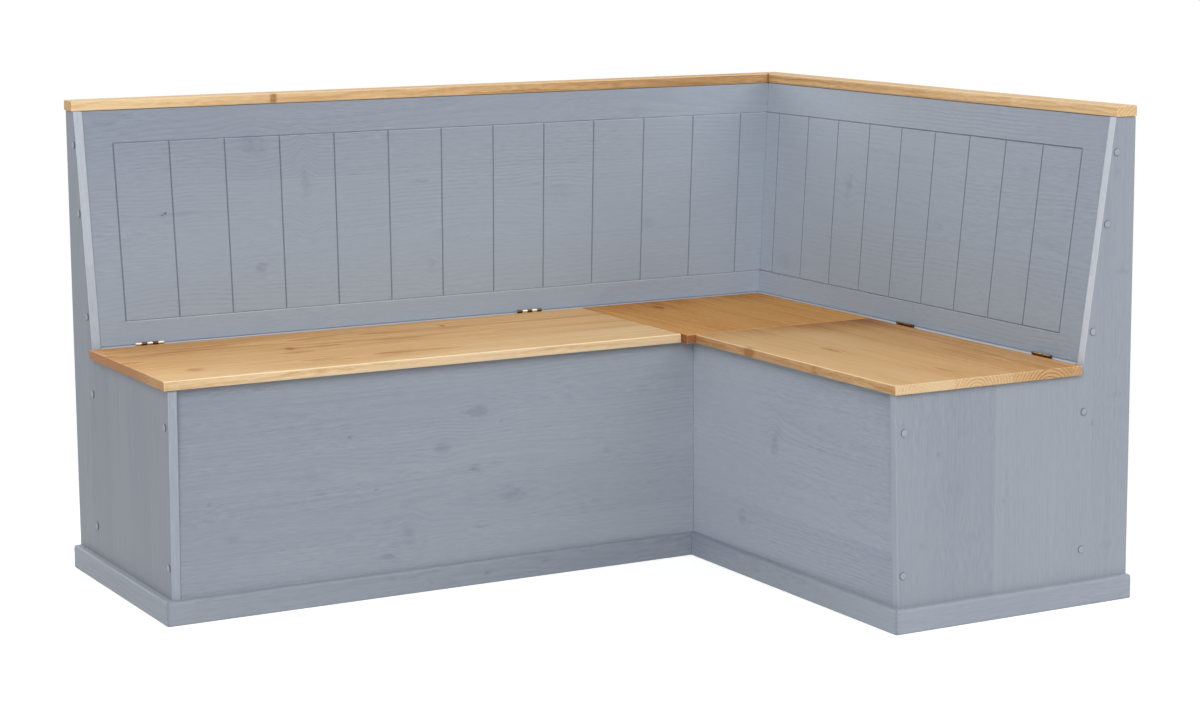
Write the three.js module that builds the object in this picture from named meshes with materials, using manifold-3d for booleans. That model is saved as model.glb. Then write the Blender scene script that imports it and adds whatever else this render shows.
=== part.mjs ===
import * as THREE from 'three';
import { mergeVertices } from 'three/addons/utils/BufferGeometryUtils.js';
import Module from 'manifold-3d';

const wasm = await Module();
wasm.setup();

// A corner storage bench: two wings meet in the room's corner under one fixed corner seat.
// Each wing is a chest with a hinged seat lid, a leaning backrest and one tall end panel.
// All lengths are in millimetres, with Z up and the floor at zero.
// A wing has its own frame: x runs along the wall away from the corner, y is the depth
// out from the wall, and z is the height.

// Overall sizes
const longSide = 1614;
const shortSide = 1230;
const totalHeight = 920;
const seatHeight = 450;

// Stock
const boardThickness = 18;
const seatThickness = 18;
const edgeEase = 1.5;
const softEdge = 3;

// Fits
const clearance = 0.3;
const restGap = 0.3;
const overrun = 5;

// End panels: a straight back, a leaning edge beside the backrest and a raked chest edge
const panelTopDepth = 46;
const panelSeatDepth = 111;
const chestFootDepth = 517;
const chestRake = 11;
const ledgeFillet = 4;

// Cap rails
const railThickness = 20;
const railWidth = 46;
const railOverhang = 3;
const railRounding = 4;

// Backrests with routed grooves that imitate framed matchboard
const backrestRecess = 3;
const grooveWidth = 3.2;
const grooveDepth = 3;
const grooveTopMargin = 64;
const grooveBottomMargin = 46;

// Chest walls
const rearWallFront = 117;
const floorCleatHeight = 15;
const cleatTall = 25;
const cleatDeep = 20;
const seatCleatDeep = 25;
const floorThickness = 8;
const floorPlay = 1;

// Seat
const lidFrontOverhang = 17;
const cornerSeatOverhang = 19;
const seatJoint = 1.5;
const lidEndOverhang = 9;
const lidRounding = 4;
const lidBattenWidth = 45;
const lidBattenThickness = 18;
const lidBattenInset = 160;
const lidBattenFrontMargin = 12;
const lidBattenRearMargin = 12;

// Plinth
const plinthHeight = 45;
const plinthThickness = 14;
const plinthRounding = 5;
const plinthCornerChamfer = 5;

// Hinges: steel butt hinges whose knuckles stand above the seat
const hingeLength = 56;
const hingeInset = 122;
const knuckleCount = 5;
const knuckleRadius = 3;
const knuckleGap = 0.4;
const pinRadius = 1.3;
const pinPlay = 0.25;
const pinProud = 1;
const leafThickness = 1.2;
const leafPlay = 0.6;
const leafDrop = 0.6;
const leafHeight = 16;
const knuckleSteps = 10;

// Screw cover caps
const capRadius = 7;
const capHeight = 2;
const capDome = 0.8;
const capSteps = 24;
const screwBelowRail = 64;
const screwAboveSeat = 59;
const middleScrewShare = 0.6;
const screwBelowSeat = 70;
const screwAbovePlinth = 58;

// Places of the upright grooves, as shares of the face from the room's corner to the end panel.
// The last one closes the frame beside the end panel.
const longGrooveShares = [
  0.044, 0.122, 0.201, 0.28, 0.357, 0.434, 0.511, 0.588, 0.665, 0.741, 0.816, 0.89, 0.963,
];
const shortGrooveShares = [0.044, 0.144, 0.243, 0.343, 0.442, 0.542, 0.641, 0.741, 0.84, 0.94];

// The two wings: hand -1 makes the mirror image, and turn sets the wing along its wall
const wings = [
  {
    name: 'long', side: 'left', length: longSide,
    hand: 1, turn: Math.PI, grooveShares: longGrooveShares,
  },
  {
    name: 'short', side: 'right', length: shortSide,
    hand: -1, turn: Math.PI / 2, grooveShares: shortGrooveShares,
  },
];

// Heights and depths that follow from the sizes above
const railUnderside = totalHeight - railThickness;
const seatUnderside = seatHeight - seatThickness;
const chestTop = seatUnderside - restGap;
const lean = Math.atan2(panelSeatDepth - panelTopDepth, railUnderside - seatHeight);
const rearWallBack = rearWallFront - boardThickness;
const frontPanelBack = chestFootDepth - boardThickness;
const chestTopDepth = chestFootDepth + chestRake;
const lidFrontDepth = chestFootDepth + lidFrontOverhang;
const cornerSeatReach = lidFrontDepth + cornerSeatOverhang;
const hingeGap = 2 * leafThickness + leafPlay;
const lidBackDepth = rearWallFront + hingeGap;
const hingeAxisDepth = rearWallFront + hingeGap / 2;
const hingeAxisHeight = seatHeight + knuckleRadius;
const lidStart = cornerSeatReach + seatJoint;
const partitionStart = (cornerSeatReach + lidStart - boardThickness) / 2;
const partitionEnd = partitionStart + boardThickness;
const floorUnderside = floorCleatHeight + cleatTall;
const mitreShift = clearance / Math.SQRT2;
const grooveTopHeight = railUnderside - grooveTopMargin;
const grooveBottomHeight = seatHeight + grooveBottomMargin;

// Finishes
const painted = finish(0x929aa6, 0.55, 0);
const oiledPine = finish(0xc79a5c, 0.45, 0);
const rawPine = finish(0xd9bd8c, 0.7, 0);
const steel = finish(0xc9c2b0, 0.3, 1);

function finish(color, roughness, metalness) {
  return new THREE.MeshStandardMaterial({ color, roughness, metalness, flatShading: true });
}

// Depth of the end panel's leaning edge at a height
function leaningEdge(height) {
  return panelTopDepth + (railUnderside - height) * Math.tan(lean);
}

// Depth of the backrest's front face at a height
function backrestFace(height) {
  return leaningEdge(height) - backrestRecess;
}

// A closed outline with rounded corners; each corner is [x, y, radius]
function roundedOutline(corners) {
  const shape = new THREE.Shape();
  corners.forEach(([x, y, radius], i) => {
    const corner = new THREE.Vector2(x, y);
    const before = new THREE.Vector2(...corners.at(i - 1).slice(0, 2));
    const after = new THREE.Vector2(...corners[(i + 1) % corners.length].slice(0, 2));
    const room = Math.min(corner.distanceTo(before), corner.distanceTo(after)) / 2;
    const reach = Math.min(radius, room);
    const entry = before.sub(corner).setLength(reach).add(corner);
    const exit = after.sub(corner).setLength(reach).add(corner);
    if (i === 0) shape.moveTo(entry.x, entry.y);
    else shape.lineTo(entry.x, entry.y);
    if (reach > 0) shape.quadraticCurveTo(x, y, exit.x, exit.y);
  });
  return shape;
}

// An outline pushed along Z from zero to a length, with its end edges eased
function extruded(shape, length, ease, curveSegments = 3) {
  return new THREE.ExtrudeGeometry(shape, {
    depth: length - 2 * ease,
    curveSegments,
    bevelEnabled: ease > 0,
    bevelThickness: ease,
    bevelSize: ease,
    bevelOffset: -ease,
    bevelSegments: 2,
  }).translate(0, 0, ease);
}

// A board along the wing: corners are [depth, height, radius], from and to are lengths
function boardAlong(corners, from, to, ease = edgeEase) {
  const axes = new THREE.Matrix4().makeBasis(
    new THREE.Vector3(0, 1, 0), new THREE.Vector3(0, 0, 1), new THREE.Vector3(1, 0, 0));
  return extruded(roundedOutline(corners), to - from, ease).applyMatrix4(axes).translate(from, 0, 0);
}

// A board out from the wall: corners are [length along the wing, height, radius]
function boardAcross(corners, from, to, ease = edgeEase) {
  const axes = new THREE.Matrix4().makeBasis(
    new THREE.Vector3(1, 0, 0), new THREE.Vector3(0, 0, 1), new THREE.Vector3(0, -1, 0));
  return extruded(roundedOutline(corners), to - from, ease).applyMatrix4(axes).translate(0, to, 0);
}

// The four corners of a rectangle between two depths and two heights, all rounded alike
function rectangle(nearX, farX, low, high, radius = softEdge) {
  return [[nearX, low, radius], [farX, low, radius], [farX, high, radius], [nearX, high, radius]];
}

// A cutting prism that stands upright over a plan of [along, depth] points
function uprightTool(points) {
  const shape = new THREE.Shape(points.map(([along, depth]) => new THREE.Vector2(along, depth)));
  return extruded(shape, totalHeight + 2 * overrun, 0).translate(0, 0, -overrun);
}

// Everything past the diagonal plane in the room's corner
function cornerMitreTool() {
  const reach = chestFootDepth + plinthThickness + overrun;
  return uprightTool([
    [-2 * overrun, -overrun],
    [mitreShift - overrun, -overrun],
    [mitreShift + reach, reach],
    [-2 * overrun, reach]]);
}

// Everything past the diagonal plane at a wing's outer front corner, seen from one side of it
function outerMitreTool(wing, side) {
  const reach = plinthThickness + 2 * overrun;
  const shift = side * mitreShift;
  const start = [wing.length - reach - shift, chestFootDepth - reach];
  const end = [wing.length + reach - shift, chestFootDepth + reach];
  const apex = side > 0 ? [end[0], start[1]] : [start[0], end[1]];
  return uprightTool(side > 0 ? [start, apex, end] : [start, end, apex]);
}

// The wedge that takes the arris off a wing's outer plinth corner
function plinthChamferTool(wing) {
  const along = wing.length + plinthThickness;
  const depth = chestFootDepth + plinthThickness;
  return uprightTool([
    [along - plinthCornerChamfer - overrun, depth + overrun],
    [along + overrun, depth - plinthCornerChamfer - overrun],
    [along + overrun, depth + overrun]]);
}

function toSolid(geometry) {
  geometry.deleteAttribute('normal');
  geometry.deleteAttribute('uv');
  const merged = mergeVertices(geometry);
  return new wasm.Manifold(new wasm.Mesh({
    numProp: 3,
    vertProperties: Float32Array.from(merged.attributes.position.array),
    triVerts: Uint32Array.from(merged.index.array),
  }));
}

function toGeometry(solid) {
  const mesh = solid.getMesh();
  const geometry = new THREE.BufferGeometry();
  geometry.setAttribute('position', new THREE.BufferAttribute(mesh.vertProperties, 3));
  geometry.setIndex(new THREE.BufferAttribute(mesh.triVerts, 1));
  return geometry;
}

function cut(geometry, ...tools) {
  return toGeometry(tools.reduce((solid, tool) => solid.subtract(toSolid(tool)), toSolid(geometry)));
}

function join(...geometries) {
  return toGeometry(geometries.map(toSolid).reduce((whole, next) => whole.add(next)));
}

// The same piece for a wing of the other hand: mirrored, with its faces turned out again
function handed(geometry, hand) {
  if (hand > 0) return geometry;
  const mirrored = geometry.index ? geometry : mergeVertices(geometry);
  mirrored.scale(-1, 1, 1);
  const index = mirrored.index;
  for (let i = 0; i < index.count; i += 3) {
    const first = index.getX(i);
    index.setX(i, index.getX(i + 1));
    index.setX(i + 1, first);
  }
  return mirrored;
}

const bench = new THREE.Group();
bench.name = 'corner_storage_bench';

// The origin is on the floor, under the middle of the bench's box
const overhang = Math.max(plinthThickness, railOverhang, lidEndOverhang);
bench.position.set((longSide + overhang) / 2, (shortSide + overhang) / 2, 0);

function addPiece(wing, name, geometry, material, position = [0, 0, 0]) {
  const bare = geometry;
  bare.deleteAttribute('normal');
  bare.deleteAttribute('uv');
  const shaped = handed(mergeVertices(bare), wing.hand);
  const mesh = new THREE.Mesh(shaped, material.clone());
  mesh.name = name;
  mesh.position.set(wing.hand * position[0], position[1], position[2]);
  wing.group.add(mesh);
  return mesh;
}

function addEndPanel(wing) {
  const corners = [
    [0, 0, softEdge],
    [chestFootDepth, 0, 0],
    [chestFootDepth, plinthHeight, 0],
    [chestTopDepth, chestTop, softEdge],
    [leaningEdge(chestTop), chestTop, ledgeFillet],
    [panelTopDepth, railUnderside, softEdge],
    [0, railUnderside, softEdge],
  ];
  const board = boardAlong(corners, wing.length - boardThickness, wing.length);
  addPiece(wing, `end_panel_${wing.side}`, board, painted);
}

// A wedge that routs one V groove in the backrest's face between two [along, height] points
function grooveTool(start, end) {
  const slope = 1 / Math.cos(lean);
  const from = new THREE.Vector3(start[0], start[1] * slope, 0);
  const to = new THREE.Vector3(end[0], end[1] * slope, 0);
  const along = to.clone().sub(from).normalize();
  const across = new THREE.Vector3(-along.y, along.x, 0);
  const mouth = grooveWidth / 2 * (grooveDepth + overrun) / grooveDepth;
  const wedge = new THREE.Shape([
    new THREE.Vector2(-mouth, -overrun),
    new THREE.Vector2(mouth, -overrun),
    new THREE.Vector2(0, grooveDepth),
  ]);
  const place = new THREE.Matrix4().makeBasis(across, new THREE.Vector3(0, 0, 1), along).setPosition(from);
  return extruded(wedge, to.distanceTo(from), 0).applyMatrix4(place);
}

// The backrest's face as a frame: x along the wing, y up the lean from the floor, z into the board
function faceFrame() {
  const up = new THREE.Vector3(0, -Math.sin(lean), Math.cos(lean));
  const into = new THREE.Vector3(0, -Math.cos(lean), -Math.sin(lean));
  return new THREE.Matrix4().makeBasis(new THREE.Vector3(1, 0, 0), up, into)
    .setPosition(0, backrestFace(0), 0);
}

// The grooves keep their shares of the face at every height, so they fan out from the leaning corner
function grooveTools(wing) {
  const far = wing.length - boardThickness;
  const along = (share, height) => backrestFace(height) + share * (far - backrestFace(height));
  const tools = wing.grooveShares.map((share) => grooveTool(
    [along(share, grooveBottomHeight), grooveBottomHeight],
    [along(share, grooveTopHeight), grooveTopHeight]));
  for (const height of [grooveBottomHeight, grooveTopHeight]) {
    tools.push(grooveTool([0, height], [along(wing.grooveShares.at(-1), height), height]));
  }
  return tools.map((tool) => tool.applyMatrix4(faceFrame()));
}

function addBackrest(wing) {
  const level = boardThickness / Math.cos(lean);
  const corners = [
    [backrestFace(seatHeight) - level, seatHeight, 0],
    [backrestFace(seatHeight), seatHeight, softEdge],
    [backrestFace(railUnderside), railUnderside, softEdge],
    [backrestFace(railUnderside) - level, railUnderside, 0],
  ];
  const board = boardAlong(corners, 0, wing.length - boardThickness, 0);
  const shaped = cut(board, cornerMitreTool(), ...grooveTools(wing));
  addPiece(wing, `backrest_${wing.name}`, shaped, painted);
}

function addCapRail(wing) {
  const corners = rectangle(0, railWidth, railUnderside, totalHeight, softEdge);
  corners[2][2] = railRounding;
  const rail = boardAlong(corners, -overrun, wing.length + railOverhang);
  addPiece(wing, `cap_rail_${wing.name}`, cut(rail, cornerMitreTool()), oiledPine);
}

// The long wing's rear wall runs into the corner, and the short wing's stops against it
function addRearWall(wing) {
  const start = wing.hand > 0 ? rearWallBack : rearWallFront;
  const corners = rectangle(rearWallBack, rearWallFront, 0, seatHeight);
  const wall = boardAlong(corners, start, wing.length - boardThickness);
  addPiece(wing, `rear_wall_${wing.name}`, wall, painted);
}

// The short wing's front panel runs through, and the long wing's stops against its face
function addFrontPanel(wing) {
  const start = wing.hand > 0 ? chestFootDepth : frontPanelBack;
  const corners = rectangle(frontPanelBack, chestFootDepth, 0, chestTop);
  const panel = boardAlong(corners, start, wing.length - boardThickness);
  addPiece(wing, `front_panel_${wing.name}`, panel, painted);
}

function addPartition(wing) {
  const corners = rectangle(rearWallFront, frontPanelBack, 0, chestTop);
  const board = boardAlong(corners, partitionStart, partitionEnd);
  addPiece(wing, `partition_${wing.name}`, board, rawPine);
}

// Battens inside the chest: two that carry its floor, and two under the back of the seat
function addCleats(wing) {
  const inner = wing.length - boardThickness;
  const floorRear = rectangle(rearWallFront, rearWallFront + cleatDeep, floorCleatHeight, floorUnderside);
  const floorFront = rectangle(
    frontPanelBack - cleatDeep, frontPanelBack, floorCleatHeight, floorUnderside);
  const seatRear = rectangle(rearWallFront, rearWallFront + seatCleatDeep, chestTop - cleatTall, chestTop);
  const cornerStart = wing.hand > 0 ? rearWallFront : rearWallFront + seatCleatDeep;
  const cleats = [
    ['floor_cleat_rear', floorRear, partitionEnd, inner],
    ['floor_cleat_front', floorFront, partitionEnd, inner],
    ['lid_rest_cleat', seatRear, partitionEnd, inner],
    ['corner_seat_cleat', seatRear, cornerStart, partitionStart],
  ];
  for (const [name, corners, from, to] of cleats) {
    addPiece(wing, `${name}_${wing.name}`, boardAlong(corners, from, to), rawPine);
  }
}

function addChestFloor(wing) {
  const corners = rectangle(rearWallFront + floorPlay, frontPanelBack - floorPlay,
    floorUnderside, floorUnderside + floorThickness, 0);
  const from = partitionEnd + floorPlay;
  const to = wing.length - boardThickness - floorPlay;
  addPiece(wing, `chest_floor_${wing.name}`, boardAlong(corners, from, to, 0), rawPine);
}

function addFrontPlinth(wing) {
  const front = chestFootDepth + plinthThickness;
  const corners = rectangle(chestFootDepth, front, 0, plinthHeight, 0);
  corners[1][2] = softEdge;
  corners[2][2] = plinthRounding;
  const strip = boardAlong(corners, 0, wing.length + plinthThickness + overrun, 0);
  const shaped = cut(strip, cornerMitreTool(), outerMitreTool(wing, 1), plinthChamferTool(wing));
  addPiece(wing, `plinth_front_${wing.name}`, shaped, painted);
}

function addEndPlinth(wing) {
  const front = chestFootDepth + plinthThickness;
  const corners = rectangle(wing.length, wing.length + plinthThickness, 0, plinthHeight, 0);
  corners[1][2] = softEdge;
  corners[2][2] = plinthRounding;
  const strip = boardAcross(corners, 0, front + overrun, edgeEase);
  const shaped = cut(strip, outerMitreTool(wing, -1), plinthChamferTool(wing));
  addPiece(wing, `plinth_${wing.side}`, shaped, painted);
}

function addLid(wing) {
  const corners = [
    [lidBackDepth, seatUnderside, softEdge],
    [lidFrontDepth, seatUnderside, softEdge],
    [lidFrontDepth, seatHeight, lidRounding],
    [lidBackDepth, seatHeight, softEdge],
  ];
  const lid = boardAlong(corners, lidStart, wing.length + lidEndOverhang, edgeEase);
  addPiece(wing, `seat_lid_${wing.name}`, lid, oiledPine);
}

// Two battens screwed across the underside keep each lid flat
function addLidBattens(wing) {
  const corners = rectangle(rearWallFront + seatCleatDeep + lidBattenRearMargin,
    frontPanelBack - lidBattenFrontMargin, seatUnderside - lidBattenThickness, seatUnderside);
  const centres = [lidStart + lidBattenInset, wing.length + lidEndOverhang - lidBattenInset];
  centres.forEach((centre, i) => {
    const batten = boardAlong(corners, centre - lidBattenWidth / 2, centre + lidBattenWidth / 2);
    addPiece(wing, `lid_batten_${wing.name}_${i + 1}`, batten, rawPine);
  });
}

// One knuckle of a hinge, bored for the pin, between two places along the pin
function knuckle(from, to) {
  const shape = new THREE.Shape().absarc(0, 0, knuckleRadius, 0, 2 * Math.PI);
  const axes = new THREE.Matrix4().makeBasis(
    new THREE.Vector3(0, 1, 0), new THREE.Vector3(0, 0, 1), new THREE.Vector3(1, 0, 0));
  return extruded(shape, to - from, 0, knuckleSteps).applyMatrix4(axes).translate(from, 0, 0);
}

function pinBore() {
  const bore = new THREE.CylinderGeometry(
    pinRadius + pinPlay, pinRadius + pinPlay, hingeLength + 2 * overrun, 2 * knuckleSteps);
  return bore.rotateZ(-Math.PI / 2);
}

// A leaf is a plate below the pin with every second knuckle; side is 1 on the lid, -1 on the wall
function hingeLeaf(side, first) {
  const inner = side * leafPlay / 2;
  const outer = side * (leafPlay / 2 + leafThickness);
  const [near, far] = [Math.min(inner, outer), Math.max(inner, outer)];
  const plateTop = -knuckleRadius - leafDrop;
  const plate = boardAlong(rectangle(near, far, plateTop - leafHeight, plateTop, 0),
    -hingeLength / 2, hingeLength / 2, 0);
  const pitch = (hingeLength + knuckleGap) / knuckleCount;
  const parts = [plate];
  for (let i = first; i < knuckleCount; i += 2) {
    const from = -hingeLength / 2 + i * pitch;
    const to = from + pitch - knuckleGap;
    const tongue = rectangle(near, far, plateTop - leafDrop, 0, 0);
    parts.push(boardAlong(tongue, from, to, 0), knuckle(from, to));
  }
  return cut(join(...parts), pinBore());
}

function hingePin() {
  const half = hingeLength / 2 + pinProud;
  const profile = [[0, -half], [pinRadius - edgeEase / 3, -half], [pinRadius, -half + edgeEase / 3],
    [pinRadius, half - edgeEase / 3], [pinRadius - edgeEase / 3, half], [0, half]];
  const points = profile.map(([radius, along]) => new THREE.Vector2(radius, along));
  return new THREE.LatheGeometry(points, 2 * knuckleSteps).rotateZ(-Math.PI / 2);
}

function addHinges(wing) {
  const centres = [lidStart + hingeInset, wing.length + lidEndOverhang - hingeInset];
  centres.forEach((along, i) => {
    const label = `${wing.name}_${i + 1}`;
    const place = [along, hingeAxisDepth, hingeAxisHeight];
    addPiece(wing, `hinge_wall_leaf_${label}`, hingeLeaf(-1, 0), steel, place);
    addPiece(wing, `hinge_lid_leaf_${label}`, hingeLeaf(1, 1), steel, place);
    addPiece(wing, `hinge_pin_${label}`, hingePin(), steel, place);
  });
}

// A low domed button that hides a screw head in the end panel's outer face
function screwCap() {
  const points = [[0, 0], [capRadius, 0], [capRadius, capHeight - capDome],
    [capRadius - capDome, capHeight - capDome / 3], [capRadius / 2, capHeight], [0, capHeight]];
  const profile = points.map(([radius, height]) => new THREE.Vector2(radius, height));
  return new THREE.LatheGeometry(profile, capSteps).rotateZ(-Math.PI / 2);
}

// The screws enter the middle of the board that they hold: backrest, rear wall or front panel
function addScrewCaps(wing) {
  const backrestMiddle = (height) => backrestFace(height) - boardThickness / 2 / Math.cos(lean);
  const highest = railUnderside - screwBelowRail;
  const lowest = seatHeight + screwAboveSeat;
  const backrestHeights = [highest, lowest + middleScrewShare * (highest - lowest), lowest];
  const chestHeights = [chestTop - screwBelowSeat, plinthHeight + screwAbovePlinth];
  const places = [
    ...backrestHeights.map((height) => [backrestMiddle(height), height]),
    ...chestHeights.map((height) => [rearWallFront - boardThickness / 2, height]),
    ...chestHeights.map((height) => [chestFootDepth - boardThickness / 2, height]),
  ];
  places.forEach(([depth, height], i) => {
    addPiece(wing, `screw_cap_${wing.side}_${i + 1}`, screwCap(), painted, [wing.length, depth, height]);
  });
}

for (const wing of wings) {
  wing.group = new THREE.Group();
  wing.group.rotation.z = wing.turn;
  bench.add(wing.group);
  addEndPanel(wing);
  addBackrest(wing);
  addCapRail(wing);
  addRearWall(wing);
  addFrontPanel(wing);
  addPartition(wing);
  addCleats(wing);
  addChestFloor(wing);
  addFrontPlinth(wing);
  addEndPlinth(wing);
  addLid(wing);
  addLidBattens(wing);
  addHinges(wing);
  addScrewCaps(wing);
}

// The fixed seat over the corner, a square board shared by both wings
const cornerSeatCorners = rectangle(rearWallFront + clearance, cornerSeatReach, seatUnderside, seatHeight);
const cornerSeat = boardAlong(cornerSeatCorners, rearWallFront + clearance, cornerSeatReach);
addPiece(wings[0], 'corner_seat', cornerSeat, oiledPine);

export default bench;
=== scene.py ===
"""A corner storage bench in a pale studio.

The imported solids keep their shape. Each board gets a wood material whose grain, staves and
knots run through its thickness, painted or oiled, and the hinges get their plating and screws.
Lengths are metres, with small ones written in millimetres.
"""

import math

import bmesh
import bpy
from mathutils import Matrix, Vector


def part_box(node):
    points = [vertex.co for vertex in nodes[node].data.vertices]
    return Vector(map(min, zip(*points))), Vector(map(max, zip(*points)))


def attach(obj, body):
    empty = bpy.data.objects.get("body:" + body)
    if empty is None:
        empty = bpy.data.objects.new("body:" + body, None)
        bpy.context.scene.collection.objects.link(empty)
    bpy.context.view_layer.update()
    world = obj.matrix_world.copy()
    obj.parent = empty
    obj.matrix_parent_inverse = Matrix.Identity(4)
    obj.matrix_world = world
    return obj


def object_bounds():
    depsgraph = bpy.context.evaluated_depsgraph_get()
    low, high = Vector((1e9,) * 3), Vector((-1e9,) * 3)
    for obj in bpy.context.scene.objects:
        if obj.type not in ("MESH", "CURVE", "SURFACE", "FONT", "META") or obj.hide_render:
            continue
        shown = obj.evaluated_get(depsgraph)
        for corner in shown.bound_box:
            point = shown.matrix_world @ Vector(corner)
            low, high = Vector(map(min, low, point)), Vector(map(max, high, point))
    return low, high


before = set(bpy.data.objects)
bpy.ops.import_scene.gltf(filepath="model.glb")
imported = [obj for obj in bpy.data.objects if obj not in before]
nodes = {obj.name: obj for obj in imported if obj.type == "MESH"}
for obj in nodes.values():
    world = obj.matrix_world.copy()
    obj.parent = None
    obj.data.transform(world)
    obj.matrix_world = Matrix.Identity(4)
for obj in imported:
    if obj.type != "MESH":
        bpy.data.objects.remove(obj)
cad_box = [list(corner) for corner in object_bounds()]
MM = 0.001
AXES = "XYZ"
WHITE = (1, 1, 1, 1)


def linear(red, green, blue):
    """A colour given in 0 to 255 display values, as the linear colour that a shader takes."""
    return [((c / 255 + 0.055) / 1.055) ** 2.4 for c in (red, green, blue)] + [1.0]


def tones(*colours):
    """A scale of display colours from dark to light, as linear ones."""
    return [linear(*colour) for colour in colours]


class Graph:
    """A material's nodes, made by short calls that give back sockets."""

    def __init__(self, tree):
        self.tree = tree
        tree.nodes.clear()

    def feed(self, socket, value):
        if isinstance(value, bpy.types.NodeSocket):
            self.tree.links.new(value, socket)
        else:
            socket.default_value = value

    def node(self, kind, inputs=None, **settings):
        made = self.tree.nodes.new(kind)
        for key, value in settings.items():
            setattr(made, key, value)
        for key, value in (inputs or {}).items():
            self.feed(made.inputs[key], value)
        return made

    def math(self, operation, *values):
        return self.node("ShaderNodeMath", dict(enumerate(values)), operation=operation).outputs[0]

    def add(self, *values):
        total = values[0]
        for value in values[1:]:
            total = self.math("ADD", total, value)
        return total

    def sub(self, a, b):
        return self.math("SUBTRACT", a, b)

    def mul(self, a, b):
        return self.math("MULTIPLY", a, b)

    def vector(self, x, y, z):
        return self.node("ShaderNodeCombineXYZ", {0: x, 1: y, 2: z}).outputs[0]

    def parts(self, vector):
        return self.node("ShaderNodeSeparateXYZ", {0: vector}).outputs

    def noise(self, vector, scale=1.0, detail=2.0, roughness=0.5):
        """Noise about zero, from about -0.5 to 0.5."""
        made = self.node("ShaderNodeTexNoise", {
            "Vector": vector, "Scale": scale, "Detail": detail, "Roughness": roughness})
        return self.sub(made.outputs[0], 0.5)

    def smooth(self, value, low, high):
        """0 below low, 1 above high, and a smooth rise between them."""
        limits = {0: value, 1: low, 2: high}
        return self.node("ShaderNodeMapRange", limits, interpolation_type="SMOOTHSTEP").outputs[0]

    def ramp(self, value, colours):
        """Colours spread evenly from 0 to 1."""
        made = self.node("ShaderNodeValToRGB", {0: value})
        elements = made.color_ramp.elements
        while len(elements) < len(colours):
            elements.new(0.5)
        for index, colour in enumerate(colours):
            elements[index].position = index / (len(colours) - 1)
            elements[index].color = colour
        return made.outputs[0]

    def mix(self, factor, a, b):
        return self.node("ShaderNodeMix", {0: factor, 6: a, 7: b}, data_type="RGBA").outputs[2]


def new_material(name):
    """A material and the graph of its emptied node tree."""
    material = bpy.data.materials.new(name)
    material.use_nodes = True
    return material, Graph(material.node_tree)


# Wood
def knot_group():
    """One knot: how far it pushes the grain aside, and how dark the place is."""
    push_share, push_falloff = -0.65, -0.22
    core_inside, core_outside, core_dark = 0.3, 1.3, 0.8
    ring_turn, ring_contrast = 11.0, 0.12
    halo_falloff, halo_dark = -0.5, 0.35

    tree = bpy.data.node_groups.new("Knot", "ShaderNodeTree")
    for name in ("U", "V", "Centre U", "Centre V", "Radius U", "Radius V", "Strength"):
        tree.interface.new_socket(name, in_out="INPUT", socket_type="NodeSocketFloat")
    for name in ("Push", "Dark"):
        tree.interface.new_socket(name, in_out="OUTPUT", socket_type="NodeSocketFloat")
    g = Graph(tree)
    given = g.node("NodeGroupInput").outputs
    across = g.sub(given["V"], given["Centre V"])
    du = g.math("DIVIDE", g.sub(given["U"], given["Centre U"]), given["Radius U"])
    dv = g.math("DIVIDE", across, given["Radius V"])
    square = g.add(g.mul(du, du), g.mul(dv, dv))
    reach = g.math("EXPONENT", g.mul(square, push_falloff))
    push = g.mul(g.mul(across, reach), push_share)
    radius = g.math("SQRT", square)
    core = g.sub(1.0, g.smooth(radius, core_inside, core_outside))
    rings = g.mul(g.math("SINE", g.mul(radius, ring_turn)), ring_contrast)
    halo = g.mul(g.math("EXPONENT", g.mul(square, halo_falloff)), halo_dark)
    dark = g.mul(g.add(g.mul(core, g.add(rings, core_dark)), halo), given["Strength"])
    g.node("NodeGroupOutput", {"Push": push, "Dark": dark})
    return tree


KNOT = knot_group()


def knotted(g, u, v, w, knots):
    """The place across the grain as the knots push it aside, and how dark they make the point."""
    wobble = g.noise(g.vector(g.mul(u, 60.0), g.mul(v, 90.0), g.mul(w, 30.0)))
    knot_u = g.add(u, g.mul(wobble, 12 * MM))
    knot_v = g.add(v, g.mul(wobble, -8 * MM))
    dark, pushed = 0.0, v
    for along, aside, long_half, wide_half, strength in knots:
        made = g.node("ShaderNodeGroup", node_tree=KNOT)
        settings = {"U": knot_u, "V": knot_v, "Centre U": along * MM, "Centre V": aside * MM,
                    "Radius U": long_half * MM, "Radius V": wide_half * MM, "Strength": strength}
        for key, value in settings.items():
            g.feed(made.inputs[key], value)
        pushed = g.add(pushed, made.outputs["Push"])
        dark = g.add(dark, made.outputs["Dark"])
    return pushed, dark


def drawn_out(g, place, along_scale, across_scale, **settings):
    """Noise drawn out along the grain, finer across it and through the board."""
    along, aside, through = place
    sideways, inwards = g.mul(aside, across_scale), g.mul(through, across_scale)
    return g.noise(g.vector(g.mul(along, along_scale), sideways, inwards), **settings)


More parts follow.
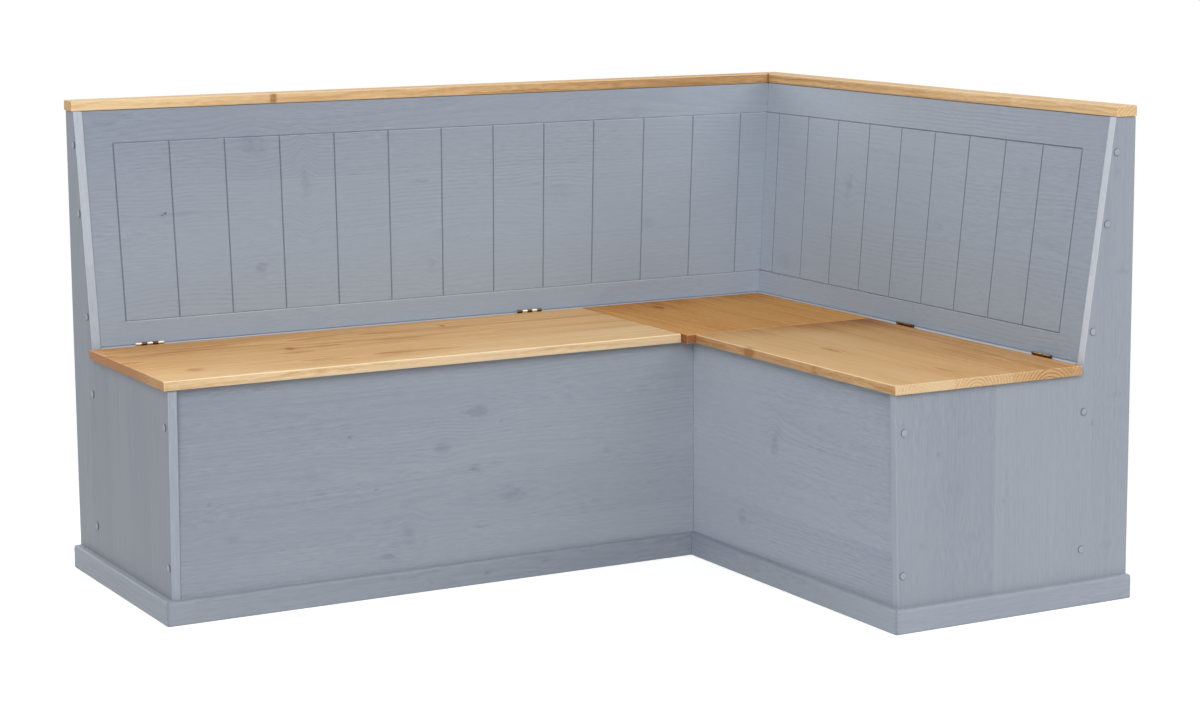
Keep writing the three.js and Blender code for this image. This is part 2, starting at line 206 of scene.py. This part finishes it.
def latewood(g, look, seed, place, aside, number, random):
    """Growth rings about a wandering heart: 0 in the pale early wood, 1 in the dark late wood."""
    heart_depth, heart_spread, looseness = 12 * MM, 50 * MM, 0.9
    late_start, late_full, late_end = 0.25, 0.85, 0.9

    along, pushed, w = place
    sway = g.noise(g.vector(g.mul(along, 1.7), g.mul(number, 3.1), seed))
    bend = g.noise(g.vector(g.mul(along, 1.1), g.mul(number, 5.3), seed + 4.0), detail=1.0)
    side = g.add(aside, g.mul(sway, look["sway"]))
    below = g.add(w, g.mul(bend, look["bend"]), g.mul(random, heart_spread), heart_depth)
    radius = g.math("SQRT", g.add(g.mul(side, side), g.mul(below, below)))
    loose = drawn_out(g, place, 9.0, 40.0)
    phase = g.math("FRACT", g.add(g.math("DIVIDE", radius, look["ring"]), g.mul(loose, looseness)))
    late = g.mul(g.smooth(phase, late_start, late_full), g.sub(1.0, g.smooth(phase, late_end, 1.0)))
    cloud = g.noise(g.vector(g.mul(along, 2.5), g.mul(pushed, 9.0), seed), detail=1.0)
    return g.mul(late, g.smooth(cloud, -0.25, 0.2))


def wood(name, grain, across, look, box=((0, 0, 0), (0, 0, 0)), knots=(), stave=120, lean=0.0,
         seed=0.0, painted_shading=1.0, painted_shading_slope=(0.0, 0.0), painted_shading_step=(0, 1, 0.0, 0.0), side=0.0, end=0.0):
    """Solid pine: growth rings about an axis along the grain, cut into glued staves.

    grain and across are axes of the part, and box holds the board's corners. Knots are (along,
    across, half length, half width, strength), and they and the stave's width are millimetres.
    lean is a leaning board's slope, which its rings follow. The colour scale, the two slopes and
    the step paint light and shade into the tone. The scale on the look's face colours, not its
    edge colours, makes a whole board lighter or darker for the light it gets. The slopes are how
    the tone changes with each metre along and across the board: painted shade, such as darker
    under the rails and lids and towards inner corners, and painted light, such as lighter towards
    a backrest's corner. side and end are added to the tone on the edges and the end grain; side is
    partly the edges' own colour and partly painted light and shade. The step is two places along
    the board, how much the tone changes between them, and how much more it does on a side: painted
    lighter into a backrest's corner to take back its shade and on the end panels' leaning strips,
    and painted darker at the back of the corner seat and on the short lid beside it.
    """
    tree_length, heart_wander, seam_width = 7.0, 0.9, 1.2 * MM
    edge_low, edge_high = 0.5, 0.85
    calm_at_end, rings_at_end = 0.75, -0.1

    material, g = new_material(name)
    coordinates = g.node("ShaderNodeTexCoord").outputs
    place = g.parts(coordinates["Object"])
    depth = (set(AXES) - {grain, across}).pop()
    middle = {axis: (box[0][i] + box[1][i]) / 2 for i, axis in enumerate(AXES)}
    first_side = box[0][AXES.index(across)]
    u, v = place[grain], place[across]
    w = g.sub(place[depth], middle[depth] - lean * middle[across])
    if lean:
        w = g.sub(w, g.mul(v, lean))
    pushed, dark = knotted(g, u, v, w, knots)

    # Each stave is cut from another place in the tree
    width = stave * MM
    row = g.math("DIVIDE", g.sub(v, first_side), width)
    number = g.math("FLOOR", row)
    chance = g.node("ShaderNodeTexWhiteNoise", {"W": g.add(number, seed + 0.37)}, noise_dimensions="1D")
    random = g.node("ShaderNodeSeparateColor", {0: chance.outputs["Color"]}).outputs
    centre = g.add(g.mul(g.add(number, 0.5), width), first_side)
    along = g.add(u, g.mul(random[2], tree_length), seed)
    aside = g.add(g.sub(pushed, centre), g.mul(g.sub(random[0], 0.5), width * heart_wander))
    in_tree = (along, pushed, w)
    late = latewood(g, look, seed, in_tree, aside, number, random[1])
    seam_place = g.math("ABSOLUTE", g.sub(g.math("FRACT", row), 0.5))
    seam = g.smooth(seam_place, 0.5 - seam_width / width, 0.5)

    # Fine fibres that come and go, broader streaks and cloudy patches, all drawn out along the grain
    thread = drawn_out(g, in_tree, 36.0, 330.0, roughness=0.6)
    cluster = g.smooth(drawn_out(g, in_tree, 5.0, 16.0), -0.15, 0.2)
    fibre = g.mul(thread, g.add(g.mul(cluster, 0.9), 0.6))
    streak = drawn_out(g, in_tree, 2.4, 95.0, detail=3.0)
    patch = drawn_out(g, in_tree, 2.0, 10.0)

    # The edges that run with the grain, the end grain, and the rounded corners between them
    turn = [g.math("ABSOLUTE", part) for part in g.parts(coordinates["Normal"])]
    on_face, on_end = turn[AXES.index(depth)], turn[AXES.index(grain)]
    at_end = g.smooth(on_end, edge_low, edge_high)
    at_side = g.mul(g.sub(1.0, g.smooth(on_face, edge_low, edge_high)), g.sub(1.0, at_end))
    flattest = g.math("MAXIMUM", g.math("MAXIMUM", turn[0], turn[1]), turn[2])
    at_corner = g.sub(1.0, g.smooth(flattest, 0.8, 0.97))

    # The tone goes from 0, the darkest colour of the look, to 1, the lightest
    fade_from, fade_to, painted_step, painted_step_on_side = painted_shading_step
    figure = g.add(g.mul(streak, look["streak"]), g.mul(patch, look["patch"]))
    tone = g.add(
        g.mul(fibre, look["fibre"]), g.mul(figure, g.sub(1.0, g.mul(at_end, calm_at_end))),
        g.mul(late, g.add(g.mul(at_end, rings_at_end), -look["late"])),
        # The slopes and the step below are painted light and shade: darker under rails and lids, lighter
        # or darker into corners
        g.mul(g.sub(u, middle[grain]), painted_shading_slope[0]), g.mul(g.sub(v, middle[across]), painted_shading_slope[1]),
        g.mul(g.smooth(u, fade_from * MM, fade_to * MM), g.add(g.mul(at_side, painted_step_on_side), painted_step)),
        g.mul(g.sub(random[0], 0.5), look["stave"]), g.mul(seam, -look["seam"]),
        # side is partly the edges' own colour and partly painted light and shade, such as lighter groove
        # walls
        g.mul(dark, -look["knot"]), g.mul(at_side, side), g.mul(at_end, end),
        # corner: a painted highlight on oiled wood and partly on paint, painted shade on backrests,
        # plinths, caps
        g.mul(at_corner, look["corner"]), 0.5 + look["late"] * 0.25)
    # The face colours are scaled by the board's painted shading, lighter or darker for the light it gets
    colour = g.ramp(tone, [[c * painted_shading for c in colour[:3]] + [1.0] for colour in look["colours"]])
    # The edge colours hold painted shade in the backrests' grooves and a painted highlight on some strips
    if "edges" in look:
        edge = g.math("MAXIMUM", at_side, at_end)
        colour = g.mix(edge, colour, g.ramp(tone, look["edges"]))
    shine = g.add(g.mul(fibre, 0.25), g.mul(late, 0.06), look["rough"])
    height = g.add(g.mul(fibre, 0.5), g.mul(streak, 0.35), g.mul(late, -0.6), g.mul(seam, -0.6),
                   g.mul(dark, 0.3))
    bump = g.node("ShaderNodeBump", {"Height": height, "Strength": look["bump"], "Distance": 0.4 * MM})
    shader = g.node("ShaderNodeBsdfPrincipled", {
        "Base Color": colour, "Roughness": shine, "Normal": bump.outputs[0],
        "Specular IOR Level": look["gloss"]})
    g.node("ShaderNodeOutputMaterial", {0: shader.outputs[0]})
    return material


# What each finish is like: the sizes of the rings, how much each feature tells, and the colours
# PAINT's corner lightens rounded corners: partly a thinner coat on the arrises, partly a painted highlight
PAINT = {
    "ring": 7.5 * MM, "sway": 45 * MM, "bend": 90 * MM, "fibre": 0.36, "streak": 0.12, "patch": 0.11,
    "late": 0.06, "stave": 0.08, "seam": 0.0, "knot": 0.27, "corner": 0.10, "rough": 0.5,
    "gloss": 0.35, "bump": 0.5,
    "colours": tones((70, 76, 88), (130, 138, 152), (152, 159, 170), (165, 172, 182), (178, 185, 194)),
}
# PANEL's lighter edge colours are partly the edges' own colour and partly a painted highlight on the
# strips
PANEL = dict(PAINT, fibre=0.26, streak=0.10, patch=0.09, late=0.04, stave=0.12,
             edges=tones((122, 129, 140), (162, 169, 180), (200, 207, 216)))
# PLINTH's corner is painted shade on the rounded top edge
PLINTH = dict(PAINT, corner=-0.08)
# GROOVED's darker edge colours are painted shade in the grooves; its corner darkens rounded edges, painted
# shade
# Its colours are a touch bluer to offset the warm light bounced up from the lids, painted light
GROOVED = dict(
    PAINT, fibre=0.30, streak=0.07, patch=0.05, stave=0.04, corner=-0.15,
    colours=tones((64, 70, 84), (131, 139, 153), (148, 158, 171), (159, 170, 184), (171, 184, 200)),
    edges=tones((116, 124, 138), (130, 138, 152), (138, 146, 160), (143, 151, 165), (190, 198, 209)))
# SHARP's edge colours are darker still, more painted shade in the short backrest's grooves
SHARP = dict(GROOVED, edges=tones(
    (98, 106, 120), (106, 114, 128), (114, 122, 136), (122, 130, 144), (170, 178, 190)))
# CAP's corner is painted shade on the caps' domes
CAP = dict(PAINT, corner=-0.35)
# OIL's corner is a painted highlight along rounded edges, which every oiled and raw look keeps
OIL = {
    "ring": 6.5 * MM, "sway": 30 * MM, "bend": 60 * MM, "fibre": 0.42, "streak": 0.34, "patch": 0.32,
    "late": 0.18, "stave": 0.18, "seam": 0.14, "knot": 0.60, "corner": 0.5, "rough": 0.5,
    "gloss": 0.15, "bump": 0.3,
    "colours": tones((136, 84, 40), (184, 132, 76), (215, 172, 117), (229, 196, 148), (240, 216, 176)),
    "edges": tones((160, 112, 70), (192, 154, 108), (213, 184, 145), (223, 200, 165), (232, 212, 182)),
}
SHORT_OIL = dict(OIL, colours=tones(
    (130, 78, 36), (178, 126, 70), (206, 163, 108), (216, 178, 126), (224, 190, 142)))
# SEAT's dark edge colours on the corner seat's nib are partly end grain and partly painted shade
SEAT = dict(
    OIL, fibre=0.55, streak=0.36, patch=0.28, late=0.1, stave=0.08, seam=0.06, gloss=0.06,
    colours=tones((116, 60, 22), (166, 103, 44), (203, 147, 80), (218, 168, 104), (228, 188, 134)),
    edges=tones((62, 36, 20), (96, 58, 34), (138, 88, 56), (166, 114, 74), (190, 142, 100)))
# RAIL's colours, on the top and bottom, are darker than its edge colours: painted shade against the top's
# reflection
RAIL = dict(
    OIL, gloss=0.08,
    colours=tones((148, 104, 60), (184, 142, 94), (205, 169, 120), (216, 184, 138), (224, 196, 156)),
    edges=tones((160, 120, 78), (198, 160, 114), (221, 192, 149), (232, 208, 172), (238, 220, 190)))
RAW = dict(RAIL, colours=RAIL["edges"], rough=0.62, gloss=0.3)

# Where the knots lie on the boards
LONG_BACK = [
    (-635, 695, 6, 5, 0.35), (-632, 698, 2, 2, 1.6), (-638, 693, 2, 1, 1.6), (-610, 695, 55, 5, 0.3),
    (-440, 820, 30, 24, 0.28), (-335, 740, 8, 34, 0.3), (-440, 580, 15, 11, 0.6),
    (-80, 730, 22, 3, 0.5), (-75, 560, 11, 17, 0.35), (185, 710, 21, 4, 0.25),
    (440, 615, 15, 13, 0.55), (235, 690, 36, 20, 0.22), (435, 850, 30, 9, 0.3),
]
SHORT_BACK = [(220, 705, 12, 29, 0.5), (425, 525, 35, 18, 0.4)]
LONG_FRONT = [
    (-180, 335, 26, 12, 0.55), (-255, 270, 18, 14, 0.5), (-185, 225, 16, 7, 0.45),
    (-105, 165, 32, 16, 0.45), (-445, 310, 5, 4, 0.7), (-130, 310, 5, 3, 0.5), (-395, 205, 5, 4, 0.6),
    (100, 230, 10, 7, 0.5), (195, 155, 10, 4, 0.5), (-510, 245, 26, 12, 0.2), (-725, 215, 5, 4, 0.5),
    (-330, 110, 14, 22, 0.4), (-370, 75, 17, 6, 0.5), (-690, 145, 19, 9, 0.25), (-175, 110, 21, 4, 0.4),
]
SHORT_FRONT = [(-195, 275, 12, 25, 0.5), (-80, 110, 16, 16, 0.5)]
RIGHT_PANEL = [
    (315, 380, 5, 4, 0.6), (250, 415, 12, 16, 0.14), (155, 455, 12, 16, 0.2), (215, 525, 5, 6, 0.35),
    (150, 350, 6, 9, 0.3), (385, 780, 5, 17, 0.25), (105, 760, 9, 19, 0.22), (615, 790, 5, 17, 0.3),
    (340, 725, 5, 6, 0.5), (800, 775, 6, 6, 0.3),
]
LONG_LID = [
    (-715, 180, 20, 16, 0.4), (-475, 315, 10, 12, 0.5), (-475, 270, 40, 12, 0.3),
    (-325, 160, 40, 16, 0.28), (-100, 425, 5, 14, 0.5),
]
SHORT_LID = [(-130, 276, 15, 10, 1.0), (-359, 276, 15, 5, 0.3), (-230, 400, 40, 8, 0.4)]
CORNER_SEAT = [(420, 400, 24, 9, 0.5)]
LONG_PLINTH = [(-170, 20, 9, 6, 0.5), (-45, 30, 10, 5, 0.3), (-290, 15, 8, 5, 0.3)]
LONG_RAIL = [(-390, 576, 8, 12, 0.5), (768, 576, 2, 8, 1.2)]
SHORT_RAIL = [(576, 768, 2, 8, 1.2)]

# How far the backrests lean back with each metre up
LEAN = 0.1444

# Each board's grain and its axis across, its finish, and what else wood() is told
BOARDS = {
    # Backrests: painted darker under the rail, lighter into the corner, and lighter horizontal groove
    # walls
    "backrest_long": ("X", "Z", GROOVED, dict(
        knots=LONG_BACK, stave=150, lean=LEAN, seed=1.0, painted_shading=0.92, painted_shading_slope=(0.13, -0.4),
        painted_shading_step=(330, 640, 0.18, 0.0), side=0.58)),
    "backrest_short": ("Y", "Z", SHARP, dict(
        knots=SHORT_BACK, stave=150, lean=LEAN, seed=12.0, painted_shading_slope=(0.2, -0.25),
        painted_shading_step=(0, 400, 0.14, 0.0), side=0.52)),
    # Front panels: scale and slopes are painted light and shade, darker up under the lids
    "front_panel_long": ("X", "Z", PAINT, dict(
        knots=LONG_FRONT, stave=110, seed=23.0, painted_shading=0.86, painted_shading_slope=(0.19, -0.25))),
    "front_panel_short": ("Y", "Z", PAINT, dict(
        knots=SHORT_FRONT, stave=140, seed=34.0, painted_shading=1.08, painted_shading_slope=(0.3, -0.2))),
    # End panels: painted darker as a whole, the left much more, and a painted highlight on the leaning
    # strips
    "end_panel_left": ("Z", "Y", PANEL, dict(
        stave=110, seed=45.0, painted_shading=0.68, painted_shading_step=(420, 480, 0.0, 0.22), side=-0.16)),
    "end_panel_right": ("Z", "X", PANEL, dict(
        knots=RIGHT_PANEL, stave=110, seed=56.0, painted_shading=0.885, painted_shading_slope=(-0.15, 0.0),
        painted_shading_step=(420, 480, 0.0, 0.4), side=-0.08)),
    # Plinths: painted darker as a whole and towards the inner corner; the short one's top edge painted
    # darker
    "plinth_front_long": ("X", "Z", PLINTH, dict(
        knots=LONG_PLINTH, seed=67.0, painted_shading=0.80, painted_shading_slope=(-0.15, 0.0))),
    "plinth_front_short": ("Y", "Z", PLINTH, dict(
        seed=78.0, painted_shading=0.91, painted_shading_slope=(-0.35, 0.0), side=-0.1, end=-0.25)),
    "plinth_left": ("Y", "Z", PLINTH, dict(seed=89.0, painted_shading=0.80)),
    "plinth_right": ("X", "Z", PLINTH, dict(seed=90.0, painted_shading=0.97)),
    # Rear walls: side paints the top edges lighter, painted light in the shaded gap behind the lids
    "rear_wall_long": ("X", "Z", PAINT, dict(seed=101.0, side=0.6)),
    "rear_wall_short": ("Y", "Z", PAINT, dict(seed=112.0, side=0.6)),
    # Seat lids: painted darker towards the back, and the short lid darker by the corner seat
    "seat_lid_long": ("X", "Y", OIL, dict(
        knots=LONG_LID, stave=130, seed=5.0, painted_shading_slope=(0.12, -0.8), end=-0.45)),
    "seat_lid_short": ("Y", "X", SHORT_OIL, dict(
        knots=SHORT_LID, stave=130, seed=16.0, painted_shading=0.96, painted_shading_slope=(0.0, -0.65),
        painted_shading_step=(-100, 75, -0.25, 0.15), side=-0.35, end=-0.15)),
    # Corner seat: painted darker towards the back corner between the backrests
    "corner_seat": ("Y", "X", SEAT, dict(
        knots=CORNER_SEAT, seed=27.0, painted_shading_slope=(-0.15, -0.15), painted_shading_step=(350, 560, -0.15, 0.0))),
    # Cap rails: painted darker towards the inner corner
    "cap_rail_long": ("X", "Y", RAIL, dict(
        knots=LONG_RAIL, stave=300, seed=38.0, painted_shading=0.95, painted_shading_slope=(-0.25, 0.0), side=-0.1, end=-0.45)),
    "cap_rail_short": ("Y", "X", RAIL, dict(
        knots=SHORT_RAIL, stave=300, seed=49.0, painted_shading=0.95, painted_shading_slope=(-0.15, 0.0), side=-0.1, end=-0.25)),
    "partition_long": ("Z", "Y", RAW, dict(seed=51.0)),
    "partition_short": ("Z", "X", RAW, dict(seed=53.0)),
    "chest_floor_long": ("X", "Y", RAW, dict(seed=55.0)),
    "chest_floor_short": ("Y", "X", RAW, dict(seed=57.0)),
}


# Metal
def plated(name, colour, stain, rough):
    """Plated steel with a cloudy tarnish and fine scratches."""
    material, g = new_material(name)
    place = g.node("ShaderNodeTexCoord").outputs["Object"]
    cloud = g.smooth(g.noise(place, scale=260.0, detail=4.0), -0.1, 0.22)
    scratch = g.noise(place, scale=1500.0)
    tint = g.mix(cloud, linear(*colour), linear(*stain))
    bump = g.node("ShaderNodeBump", {"Height": scratch, "Strength": 0.2, "Distance": 0.05 * MM})
    shader = g.node("ShaderNodeBsdfPrincipled", {
        "Base Color": tint, "Metallic": 1.0, "Normal": bump.outputs[0],
        "Roughness": g.add(g.mul(cloud, 0.15), g.mul(scratch, 0.1), rough)})
    g.node("ShaderNodeOutputMaterial", {0: shader.outputs[0]})
    return material


BRASS = plated("brass_plate", (240, 234, 222), (214, 200, 174), 0.25)
BRONZE = plated("bronze_plate", (120, 92, 60), (70, 50, 34), 0.3)
ZINC = plated("zinc_plate", (206, 206, 204), (160, 158, 154), 0.28)


def dress(name, material):
    mesh = nodes[name].data
    mesh.materials.clear()
    mesh.materials.append(material)


def dress_all():
    """Boards as BOARDS has them, caps in the paint of their side, hinges, and raw pine inside."""
    loose_x = wood("raw_pine_along_x", "X", "Y", RAW, seed=61.0)
    loose_y = wood("raw_pine_along_y", "Y", "X", RAW, seed=63.0)
    # Caps: side, end and the look's corner paint the rims and domes darker, painted shade; the left ones
    # darker still
    caps = {"left": wood("painted_caps_left", "Z", "Y", CAP, seed=65.0, side=-0.5, end=-0.5, painted_shading=0.9),
            "right": wood("painted_caps_right", "Z", "X", CAP, seed=66.0, side=-0.5, end=-0.5)}
    for name in nodes:
        if name in BOARDS:
            grain, across, look, settings = BOARDS[name]
            dress(name, wood(name, grain, across, look, box=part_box(name), **settings))
        elif name.startswith("screw_cap"):
            dress(name, caps["left" if "left" in name else "right"])
        elif name.startswith("hinge"):
            # These hinge pieces get the dark plate and the rest the pale one
            dark_plated = "short" in name or name in ("hinge_wall_leaf_long_1", "hinge_lid_leaf_long_2")
            dress(name, BRONZE if dark_plated else BRASS)
        elif name.startswith("lid_batten_long") or ("cleat" in name and name.endswith("_short")):
            dress(name, loose_y)
        else:
            dress(name, loose_x)


# Screws in the hinge leaves
def screw_head(mesh, middle, out, radius, proud, slot_half, slot_reach, slot_depth):
    """A flat countersunk head with a cross recess, its face turned to the direction out."""
    steps, top_share, bottom_share = 24, 0.9, 0.6
    sideways = out.orthogonal().normalized()
    upright = out.cross(sideways)

    def point(x, y, height):
        return mesh.verts.new(middle + x * sideways + y * upright + height * out)

    turns = [2 * math.pi * i / steps for i in range(steps)]
    circle = [(radius * math.cos(turn), radius * math.sin(turn)) for turn in turns]
    rim = [point(x, y, 0.0) for x, y in circle]
    top = [point(top_share * x, top_share * y, proud) for x, y in circle]
    arm = [(slot_reach, -slot_half), (slot_reach, slot_half), (slot_half, slot_half)]
    cross = [(x * c - y * s, x * s + y * c) for c, s in ((1, 0), (0, 1), (-1, 0), (0, -1)) for x, y in arm]
    mouth = [point(x, y, proud) for x, y in cross]
    bottom = [point(bottom_share * x, bottom_share * y, proud - slot_depth) for x, y in cross]
    for outer, inner in ((rim, top), (mouth, bottom)):
        for i in range(len(outer)):
            mesh.faces.new((outer[i - 1], outer[i], inner[i], inner[i - 1]))
    mesh.faces.new(bottom)
    mesh.faces.new(rim[::-1])
    edges = [edge for ring in (top, mouth) for i in range(len(ring))
             for edge in ring[i].link_edges if edge.other_vert(ring[i]) is ring[i - 1]]
    bmesh.ops.triangle_fill(mesh, use_beauty=True, edges=edges)


def hinge_screws(wing, number, leaf, body, normal, along):
    """Three screws in one leaf, on the face that looks at the other leaf."""
    half_play, half_plate, spacing = 0.3 * MM, 8.0 * MM, 19.0 * MM
    name = f"hinge_{leaf}_leaf_{wing}_{number}"
    leaf_low = Vector(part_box(name)[0])
    pin_low, pin_high = (Vector(corner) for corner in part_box(f"hinge_pin_{wing}_{number}"))
    middle = (pin_low + pin_high) / 2 - half_play * normal
    middle.z = leaf_low.z + half_plate
    mesh = bmesh.new()
    for step in (-1, 0, 1):
        screw_head(mesh, middle + step * spacing * along, normal, radius=3.1 * MM, proud=0.15 * MM,
                   slot_half=0.35 * MM, slot_reach=1.7 * MM, slot_depth=0.6 * MM)
    bmesh.ops.recalc_face_normals(mesh, faces=mesh.faces)
    data = bpy.data.meshes.new(f"screws_{name}")
    mesh.to_mesh(data)
    mesh.free()
    data.materials.append(ZINC)
    piece = bpy.data.objects.new(f"screws_{name}", data)
    bpy.context.scene.collection.objects.link(piece)
    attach(piece, body)


def all_screws():
    for wing, along, out in (("long", Vector((1, 0, 0)), Vector((0, -1, 0))),
                             ("short", Vector((0, 1, 0)), Vector((-1, 0, 0)))):
        for number in (1, 2):
            hinge_screws(wing, number, "wall", "carcass", out, along)
            hinge_screws(wing, number, "lid", f"lid_{wing}", -out, along)


# The studio: a floor that the camera sees as white, a white surround and soft lamps
def floor(half=14.0, glow=0.5, fade_from=0.1, fade_to=0.9):
    """A pale floor that keeps a soft shadow near the bench and fades to plain white round it."""
    mesh = bpy.data.meshes.new("floor")
    corners = [(-half, -half, 0), (half, -half, 0), (half, half, 0), (-half, half, 0)]
    mesh.from_pydata(corners, [], [(0, 1, 2, 3)])
    ground = bpy.data.objects.new("floor", mesh)
    bpy.context.scene.collection.objects.link(ground)
    material, g = new_material("floor")
    path = g.node("ShaderNodeLightPath").outputs
    seen = g.math("MAXIMUM", path["Is Camera Ray"], path["Is Glossy Ray"])
    plain = g.node("ShaderNodeBsdfDiffuse", {"Color": linear(226, 226, 226)})
    lit = g.node("ShaderNodeEmission", {"Color": WHITE, "Strength": g.mul(seen, glow)})
    near = g.node("ShaderNodeAddShader", {0: plain.outputs[0], 1: lit.outputs[0]})
    white = g.node("ShaderNodeEmission", {"Color": WHITE, "Strength": 1.0})
    place = g.parts(g.node("ShaderNodeTexCoord").outputs["Object"])
    beyond = [g.math("MAXIMUM", g.sub(g.math("ABSOLUTE", place[i]), cad_box[1][i]), 0.0) for i in (0, 1)]
    distance = g.math("SQRT", g.add(g.mul(beyond[0], beyond[0]), g.mul(beyond[1], beyond[1])))
    far = g.mul(g.smooth(distance, fade_from, fade_to), seen)
    both = g.node("ShaderNodeMixShader", {0: far, 1: near.outputs[0], 2: white.outputs[0]})
    g.node("ShaderNodeOutputMaterial", {0: both.outputs[0]})
    mesh.materials.append(material)


def surround(level):
    """A world that lights the bench at a level below 1 and looks white."""
    world = bpy.data.worlds.new("surround")
    bpy.context.scene.world = world
    world.use_nodes = True
    g = Graph(world.node_tree)
    path = g.node("ShaderNodeLightPath").outputs
    clear = g.math("MAXIMUM", path["Is Glossy Ray"], path["Is Transmission Ray"])
    seen = g.math("MAXIMUM", path["Is Camera Ray"], clear)
    strength = g.add(g.mul(seen, 1.0 - level), level)
    background = g.node("ShaderNodeBackground", {"Color": WHITE, "Strength": strength})
    g.node("ShaderNodeOutputWorld", {0: background.outputs[0]})


def lamp(name, azimuth, elevation, level, distance=9.0, size=5.0, aim=(0.0, 0.0, 0.4)):
    """A square soft lamp. level is what it adds to a white surface that faces it."""
    turn, rise = math.radians(azimuth), math.radians(elevation)
    towards = Vector((math.sin(turn) * math.cos(rise), -math.cos(turn) * math.cos(rise), math.sin(rise)))
    data = bpy.data.lights.new(name, "AREA")
    data.shape = "SQUARE"
    data.size = size
    data.energy = level * (math.pi * distance) ** 2
    made = bpy.data.objects.new(name, data)
    made.location = Vector(aim) + distance * towards
    made.rotation_mode = "QUATERNION"
    made.rotation_quaternion = towards.to_track_quat("Z", "Y")
    bpy.context.scene.collection.objects.link(made)


def camera(place, yaw, pitch, roll, lens, shift):
    """The photograph's viewpoint. It looks down a little, so its lens shift can be small."""
    yaw, pitch, roll = (math.radians(angle) for angle in (yaw, pitch, roll))
    forward = Vector((math.sin(yaw) * math.cos(pitch), math.cos(yaw) * math.cos(pitch), math.sin(pitch)))
    level = Vector((math.cos(yaw), -math.sin(yaw), 0.0))
    upright = level.cross(forward)
    right = math.cos(roll) * level + math.sin(roll) * upright
    up = math.cos(roll) * upright - math.sin(roll) * level
    data = bpy.data.cameras.new("camera")
    data.sensor_width = 36.0
    data.lens = lens
    data.shift_x, data.shift_y = shift
    data.clip_start = 0.05
    data.clip_end = 100.0
    view = bpy.data.objects.new("camera", data)
    turn = Matrix((right, up, -forward)).transposed().to_4x4()
    view.matrix_world = Matrix.Translation(place) @ turn
    bpy.context.scene.collection.objects.link(view)
    bpy.context.scene.camera = view


dress_all()
all_screws()
floor()
surround(level=0.38)
lamp("key", azimuth=-38, elevation=34, level=0.68)
lamp("right", azimuth=35, elevation=30, level=0.2)
lamp("right_back", azimuth=100, elevation=30, level=0.35)
lamp("left_back", azimuth=-165, elevation=30, level=0.35)
camera((-2.4355, -4.4996, 1.2811), yaw=29.555, pitch=-8.525, roll=-0.265, lens=82.03,
       shift=(-0.0333, -0.03))
bpy.context.scene.view_settings.view_transform = "Standard"
